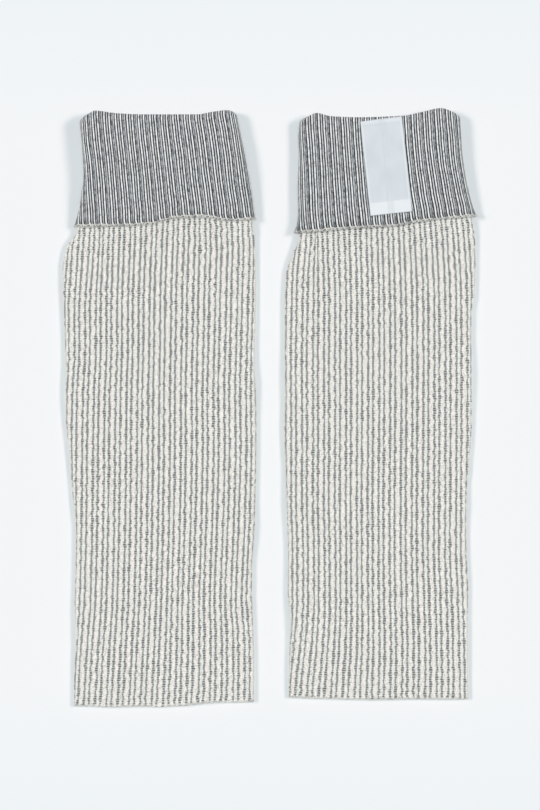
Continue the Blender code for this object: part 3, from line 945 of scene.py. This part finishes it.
class Wire:
    """A node's output. Arithmetic on it adds Math nodes."""

    def __init__(self, graph, socket):
        self.graph, self.socket = graph, socket

    def math(self, operation, *values):
        return self.graph.node("ShaderNodeMath", {"operation": operation}, dict(enumerate(values)))

    def __add__(self, other):
        return self.math("ADD", self, other)

    def __radd__(self, other):
        return self.math("ADD", other, self)

    def __sub__(self, other):
        return self.math("SUBTRACT", self, other)

    def __rsub__(self, other):
        return self.math("SUBTRACT", other, self)

    def __mul__(self, other):
        return self.math("MULTIPLY", self, other)

    def __rmul__(self, other):
        return self.math("MULTIPLY", other, self)

    def __truediv__(self, other):
        return self.math("DIVIDE", self, other)

    def __rtruediv__(self, other):
        return self.math("DIVIDE", other, self)

    def __abs__(self):
        return self.math("ABSOLUTE", self)

    def fraction(self):
        return self.math("FRACT", self)

    def sine(self):
        return self.math("SINE", self)

    def most(self, other):
        return self.math("MAXIMUM", self, other)

    def least(self, other):
        return self.math("MINIMUM", self, other)

    def ease(self, start, stop):
        """0 before start, 1 after stop, and smooth between."""
        sockets = {"Value": self, "From Min": start, "From Max": stop}
        return self.graph.node("ShaderNodeMapRange", {"interpolation_type": "SMOOTHSTEP"}, sockets)


class Look:
    """A material and its nodes. Its node method adds any node."""

    def __init__(self, name, **constants):
        self.material = bpy.data.materials.new(name)
        self.material.use_nodes = True
        self.tree = self.material.node_tree
        self.shader = self.tree.nodes["Principled BSDF"]
        for socket, value in constants.items():
            self.shader.inputs[socket.replace("_", " ")].default_value = value

    def node(self, kind, settings=None, sockets=None, out=0):
        made = self.tree.nodes.new(kind)
        for name, value in (settings or {}).items():
            setattr(made, name, value)
        for name, value in (sockets or {}).items():
            self.feed(made.inputs[name], value)
        return Wire(self, made.outputs[out])

    def feed(self, socket, value):
        if isinstance(value, Wire):
            self.tree.links.new(value.socket, socket)
        elif socket.type == "RGBA" and len(value) == 3:
            socket.default_value = (*value, 1.0)
        else:
            socket.default_value = value

    def mix(self, share, first, second):
        sockets = {0: share, 6: first, 7: second}
        return self.node("ShaderNodeMix", {"data_type": "RGBA"}, sockets, out=2)

    def scaled(self, colour, factor):
        return self.node("ShaderNodeVectorMath", {"operation": "SCALE"}, {0: colour, "Scale": factor})

    def noise(self, scale, detail=2.0, at=None, stretch=None):
        """Noise of 0 to 1, so many bumps to the metre in object space, or to the unit at given places."""
        at = at or self.node("ShaderNodeTexCoord", out=3)
        if stretch:
            at = self.node("ShaderNodeMapping", None, {"Vector": at, "Scale": stretch})
        return self.node("ShaderNodeTexNoise", None, {"Vector": at, "Scale": scale, "Detail": detail})

    def finish(self, colour, roughness, height, distance):
        self.feed(self.shader.inputs["Base Color"], colour)
        self.feed(self.shader.inputs["Roughness"], roughness)
        sockets = {"Height": height, "Distance": distance, "Strength": 1.0}
        self.feed(self.shader.inputs["Normal"], self.node("ShaderNodeBump", None, sockets))
        return self.material


def knit_places(look):
    """The knit's texture coordinates: repeats across and courses up, and both as one vector."""
    both = look.node("ShaderNodeUVMap", {"uv_map": "knit"})
    u = look.node("ShaderNodeSeparateXYZ", None, {"Vector": both}, out=0)
    v = look.node("ShaderNodeSeparateXYZ", None, {"Vector": both}, out=1)
    return both, u, v


def rib_knit_look(colours):
    """Cream ribs, wide and narrow by turns, with marl valleys between them."""
    look = Look("rib_knit", Sheen_Weight=0.25, Sheen_Roughness=0.5, Specular_IOR_Level=0.2)
    both, u, v = knit_places(look)
    from_wide = abs((u + 0.5).fraction() - 0.5)  # 0 in the middle of a wide rib, 0.5 in a narrow one
    fuzz = look.noise(1900.0, 2.0) - 0.5
    grain = look.noise(1600.0, 1.0) - 0.5
    jagged = look.noise(1.0, 1.0, at=both, stretch=(3.0, 0.42, 1.0)) - 0.5
    edge = from_wide + 0.05 * fuzz + 0.3 * jagged
    wide = 1 - edge.ease(0.155, 0.205)
    narrow = edge.ease(0.345, 0.395)
    rim = 1 - v.ease(0.05, 0.3)
    rib = wide.most(narrow).most(rim)
    # One dark dot to a course in each valley, of uneven strength
    uneven = look.noise(1.0, 2.0, at=both, stretch=(4.0, 0.6, 1.0))
    dark = (0.32 + 1.4 * (6.2832 * v).sine() + 3.0 * (uneven - 0.5)).least(1.0).most(0.0)
    valley = look.mix(dark, tuple(colours.valley), tuple(colours.valley_dark))
    patch = look.noise(420.0, 1.0).ease(0.42, 0.62)
    cream = look.mix(patch, tuple(colours.wide_rib), srgb(240, 237, 231))
    cream = look.mix(narrow, cream, tuple(colours.narrow_rib))
    colour = look.scaled(look.mix(rib, valley, cream), (1.0 + 1.6 * grain).least(1.12))
    # Each rib's stitches lean both ways from the middle of a wale
    in_wale = look.node(
        "ShaderNodeMath", {"operation": "PINGPONG"}, {0: from_wide, 1: 0.1}
    )
    stitches = (6.2832 * (v + 6.0 * in_wale)).sine()
    height = 0.5 + 0.22 * stitches + 0.6 * fuzz
    return look.finish(colour, 0.82 + 0.2 * fuzz, height, 0.00016)


def line_at(place, middle, inner, outer):
    """1 along a line of the repeat, falling to 0 from inner to outer away from its middle."""
    off = abs((place - middle + 0.5).fraction() - 0.5)
    return 1 - off.ease(inner, outer)


def reverse_knit_look(colours):
    """Two cream lines, a dim one between them and a band of marl, on dark yarn."""
    look = Look("reverse_knit", Sheen_Weight=0.15, Sheen_Roughness=0.5, Specular_IOR_Level=0.2)
    both, u, v = knit_places(look)
    fuzz = look.noise(1900.0, 2.0) - 0.5
    place = u + 0.03 * fuzz
    grain = look.noise(1200.0, 1.0) - 0.5
    bright = line_at(place, 0.0, 0.034, 0.082).most(line_at(place, 0.435, 0.032, 0.08))
    dim = line_at(place, 0.217, 0.02, 0.075)
    near = line_at(place, 0.63, 0.02, 0.075)  # the marl lines, of which one is paler on each warmer
    far = line_at(place, 0.79, 0.02, 0.08)
    band = near.most(far)
    middle = line_at(place, 0.71, 0.08, 0.12)
    on_right = look.node("ShaderNodeSeparateXYZ", None, {"Vector": look.node("ShaderNodeTexCoord", out=3)})
    on_right = on_right.ease(-0.01, 0.01)
    paler = near * on_right + far * (1 - on_right)
    in_wale = abs((place - 0.71 + 0.5).fraction() - 0.5)
    chevron = 0.5 + 0.5 * (6.2832 * (v + 7.0 * in_wale)).sine()
    flecks = look.noise(1.0, 2.0, at=both, stretch=(9.0, 0.55, 1.0))
    light = (0.5 * chevron + 3.3 * (flecks - 0.42)).least(1.0).most(0.0)
    marl = look.mix(light, tuple(0.36 * c for c in colours.marl), tuple(1.7 * c for c in colours.marl))
    colour = look.mix(0.35 * middle, tuple(colours.gap), marl)
    colour = look.mix(band, colour, marl)
    colour = look.mix(0.75 * paler, colour, tuple(1.9 * c for c in colours.marl))
    colour = look.mix(dim, colour, tuple(2.0 * c for c in colours.marl))
    # Painted shade: all but the cream ridges are scaled darker within four courses of the free edge, and on the
    # cuff's inside
    colour = look.scaled(colour, 0.62 + 0.38 * v.ease(1.0, 4.0))
    uneven = look.noise(1.0, 1.0, at=both, stretch=(6.0, 0.4, 1.0)) - 0.5
    colour = look.mix(bright, colour, tuple(colours.ridge))
    colour = look.scaled(colour, (1.0 + 1.4 * grain + 1.6 * uneven).least(1.10))
    height = 0.5 + 0.3 * chevron * band + 0.12 * (12.5664 * v).sine() * bright + 0.6 * fuzz
    return look.finish(colour, 0.85 + 0.2 * fuzz, height, 0.00018)


def satin_look(colours):
    """White satin tape with fine cross threads, brighter at its edges and where it is turned under."""
    look = Look("label_satin", Sheen_Weight=0.2, Specular_IOR_Level=0.35)
    both, a, b = knit_places(look)
    turned = (1 - b.ease(-18.9, -17.9)).most(0.55 * b.ease(22.6, 23.8))
    selvedge = abs(a).ease(9.7, 10.3)
    # Painted shade: a faint darker line down a crease of the tape, mixed with the weave's own cloudy tone
    crease = 1 - abs(a + 0.5 - 0.03 * b).ease(0.2, 0.8)
    crumpled = (1 - abs(a - 0.3).ease(1.4, 2.2)) * turned
    faint = look.noise(1.0, 2.0, at=both, stretch=(2.6, 0.12, 1.0))
    cloudy = look.noise(1.0, 1.0, at=both, stretch=(0.12, 0.08, 1.0))
    tone_and_crease_shade = (0.25 * faint + 1.6 * (cloudy - 0.4)).most(0.5 * crease).most(0.0)
    colour = look.mix(tone_and_crease_shade.least(1.0), tuple(colours.label), srgb(205, 214, 222))
    bright = (0.8 * turned).most(0.55 * selvedge) - 0.35 * crumpled
    colour = look.mix(bright, colour, srgb(238, 242, 247))
    threads = (6.2832 * 4.2 * b).sine() * (0.7 + 0.3 * (6.2832 * 1.7 * (a + 0.3 * b)).sine())
    return look.finish(colour, 0.42 + 0.2 * faint, 0.5 + 0.5 * threads, 0.00003)


def edging_look(colours):
    """Cream yarn of two twisted plies."""
    look = Look("edge_thread", Sheen_Weight=0.25, Sheen_Roughness=0.5, Specular_IOR_Level=0.2)
    both, u, v = knit_places(look)
    ply = (6.2832 * (1.1 * v + 2.0 * u)).sine()
    fuzz = look.noise(1900.0, 2.0) - 0.5
    patch = look.noise(420.0, 1.0).ease(0.42, 0.62)
    cream = look.mix(patch, tuple(colours.wide_rib), srgb(238, 235, 229))
    grey = look.noise(260.0, 1.0).ease(0.52, 0.64)
    # Painted shade darkens the grooves between the twisted plies; the grey patches come at random
    colour = look.mix((0.15 - 0.25 * ply).most(0.6 * grey), cream, srgb(150, 152, 154))
    return look.finish(colour, 0.85 + 0.2 * fuzz, 0.5 + 0.5 * ply + 0.5 * fuzz, 0.0001)


class ADD_OT_rib_tubes(Operator):
    """Add both tubes of rib knit, from hem to fold"""

    bl_idname = "arm_warmers.add_rib_tubes"
    bl_label = "Rib-knit tubes"

    def execute(self, context):
        look = rib_knit_look(context.scene.warmer_colours)
        for warmer in WARMERS:
            mesh = tube_mesh(warmer, context.scene.warmer_cloth)
            piece = add_piece(warmer.side + "_rib_tube", mesh, look)
            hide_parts(warmer.side + "_tube")
            hem = bpy.data.objects[warmer.side + "_hem_edging"]
        return {"FINISHED"}


class ADD_OT_turned_cuffs(Operator):
    """Add both turned-down cuffs, which show the reverse of the knit"""

    bl_idname = "arm_warmers.add_turned_cuffs"
    bl_label = "Turned-down cuffs"

    def execute(self, context):
        look = reverse_knit_look(context.scene.warmer_colours)
        for warmer in WARMERS:
            mesh = cuff_mesh(warmer, context.scene.warmer_cloth)
            piece = add_piece(warmer.side + "_turned_cuff", mesh, look)
            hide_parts(warmer.side + "_cuff")
            tube = warmer.side + "_rib_tube"
            hem = bpy.data.objects[warmer.side + "_cuff_edging"]
        return {"FINISHED"}


class ADD_OT_edgings(Operator):
    """Add the yarn along the cuffs' free edges and the hems"""

    bl_idname = "arm_warmers.add_edgings"
    bl_label = "Edgings"

    def execute(self, context):
        look = edging_look(context.scene.warmer_colours)
        cloth = context.scene.warmer_cloth
        for warmer in WARMERS:
            add_piece(warmer.side + "_cuff_edging", cuff_edging_mesh(warmer, cloth), look)
            add_piece(warmer.side + "_hem_edging", hem_edging_mesh(warmer, cloth), look)
        return {"FINISHED"}


class ADD_OT_label(Operator):
    """Add the plain woven label on the right cuff"""

    bl_idname = "arm_warmers.add_label"
    bl_label = "Woven label"

    def execute(self, context):
        label = context.scene.warmer_label
        mesh = label_mesh(RIGHT, context.scene.warmer_cloth, label)
        piece = add_piece("woven_label", mesh, satin_look(context.scene.warmer_colours))
        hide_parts("right_label")
        return {"FINISHED"}


class ADD_OT_stage(Operator):
    """Add the floor, the soft light and the camera straight above"""

    bl_idname = "arm_warmers.add_stage"
    bl_label = "Stage"

    def execute(self, context):
        scene, stage = context.scene, context.scene.warmer_stage
        bm = bmesh.new()
        bmesh.ops.create_grid(bm, x_segments=1, y_segments=1, size=2.0)
        mesh = bpy.data.meshes.new("floor")
        bm.to_mesh(mesh)
        bm.free()
        look = Look("pale_floor", Roughness=0.9, Specular_IOR_Level=0.1)
        place = look.node("ShaderNodeTexCoord", out=3)
        # Painted light falloff: the floor turns darker and cooler towards its ends in Y
        far = abs(look.node("ShaderNodeSeparateXYZ", None, {"Vector": place}, out=1)).ease(0.14, 0.24)
        painted_falloff_colour = tuple(share * c for share, c in zip((0.955, 0.98, 0.995), stage.floor))
        look.feed(look.shader.inputs["Base Color"], look.mix(far, tuple(stage.floor), painted_falloff_colour))
        mesh.materials.append(look.material)
        floor = bpy.data.objects.new("floor", mesh)
        floor.location.z = -0.0002
        scene.collection.objects.link(floor)

        world = bpy.data.worlds.new("soft_studio")
        world.use_nodes = True
        background = world.node_tree.nodes["Background"]
        background.inputs["Color"].default_value = (*stage.cool, 1.0)
        background.inputs["Strength"].default_value = stage.ambient
        scene.world = world
        for name, turn in (("top_light", 0.0), ("left_light", -43.0), ("right_light", 43.0)):
            light = bpy.data.lights.new(name, "SUN")
            light.angle = math.radians(15)
            light.energy = stage.side_light if turn else stage.top_light
            light.color = stage.warm if turn else stage.cool
            lamp = bpy.data.objects.new(name, light)
            lamp.rotation_euler = (math.radians(-7 if turn else 0), math.radians(turn), 0.0)
            lamp.location.z = 1.0
            scene.collection.objects.link(lamp)

        view = bpy.data.cameras.new("camera")
        view.sensor_width = 36.0
        view.lens = 36.0 * (stage.distance - 0.005) / stage.view_height
        camera = bpy.data.objects.new("camera", view)
        camera.location = (0.35 * MM, 1.5 * MM, stage.distance)
        scene.collection.objects.link(camera)
        scene.camera = camera
        scene.view_settings.view_transform = "Standard"
        return {"FINISHED"}


class VIEW_PT_arm_warmers(Panel):
    """The pieces, in the order in which they are added"""

    bl_label = "Arm warmers"
    bl_space_type = "VIEW_3D"
    bl_region_type = "UI"
    bl_category = "Knit"

    def draw(self, context):
        for operator in OPERATORS:
            self.layout.operator(operator.bl_idname)
        for group in (context.scene.warmer_cloth, context.scene.warmer_colours):
            for name in group.bl_rna.properties.keys():
                if name not in ("rna_type", "name"):
                    self.layout.prop(group, name)


GROUPS = {
    "warmer_cloth": ClothSizes,
    "warmer_colours": ClothColours,
    "warmer_label": LabelSizes,
    "warmer_stage": StageSizes,
}
OPERATORS = (ADD_OT_edgings, ADD_OT_rib_tubes, ADD_OT_turned_cuffs, ADD_OT_label, ADD_OT_stage)


def register():
    for cls in (*GROUPS.values(), *OPERATORS, VIEW_PT_arm_warmers):
        bpy.utils.register_class(cls)
    for name, group in GROUPS.items():
        setattr(bpy.types.Scene, name, PointerProperty(type=group))


def unregister():
    for name in GROUPS:
        delattr(bpy.types.Scene, name)
    for cls in (VIEW_PT_arm_warmers, *reversed(OPERATORS), *reversed(GROUPS.values())):
        bpy.utils.unregister_class(cls)


def main():
    for old in list(bpy.data.objects):
        if old.name in ("Cube", "Light", "Camera"):
            bpy.data.objects.remove(old)
    register()
    bpy.ops.arm_warmers.add_edgings()
    bpy.ops.arm_warmers.add_rib_tubes()
    bpy.ops.arm_warmers.add_turned_cuffs()
    bpy.ops.arm_warmers.add_label()
    bpy.ops.arm_warmers.add_stage()


if __name__ == "__main__":
    main()
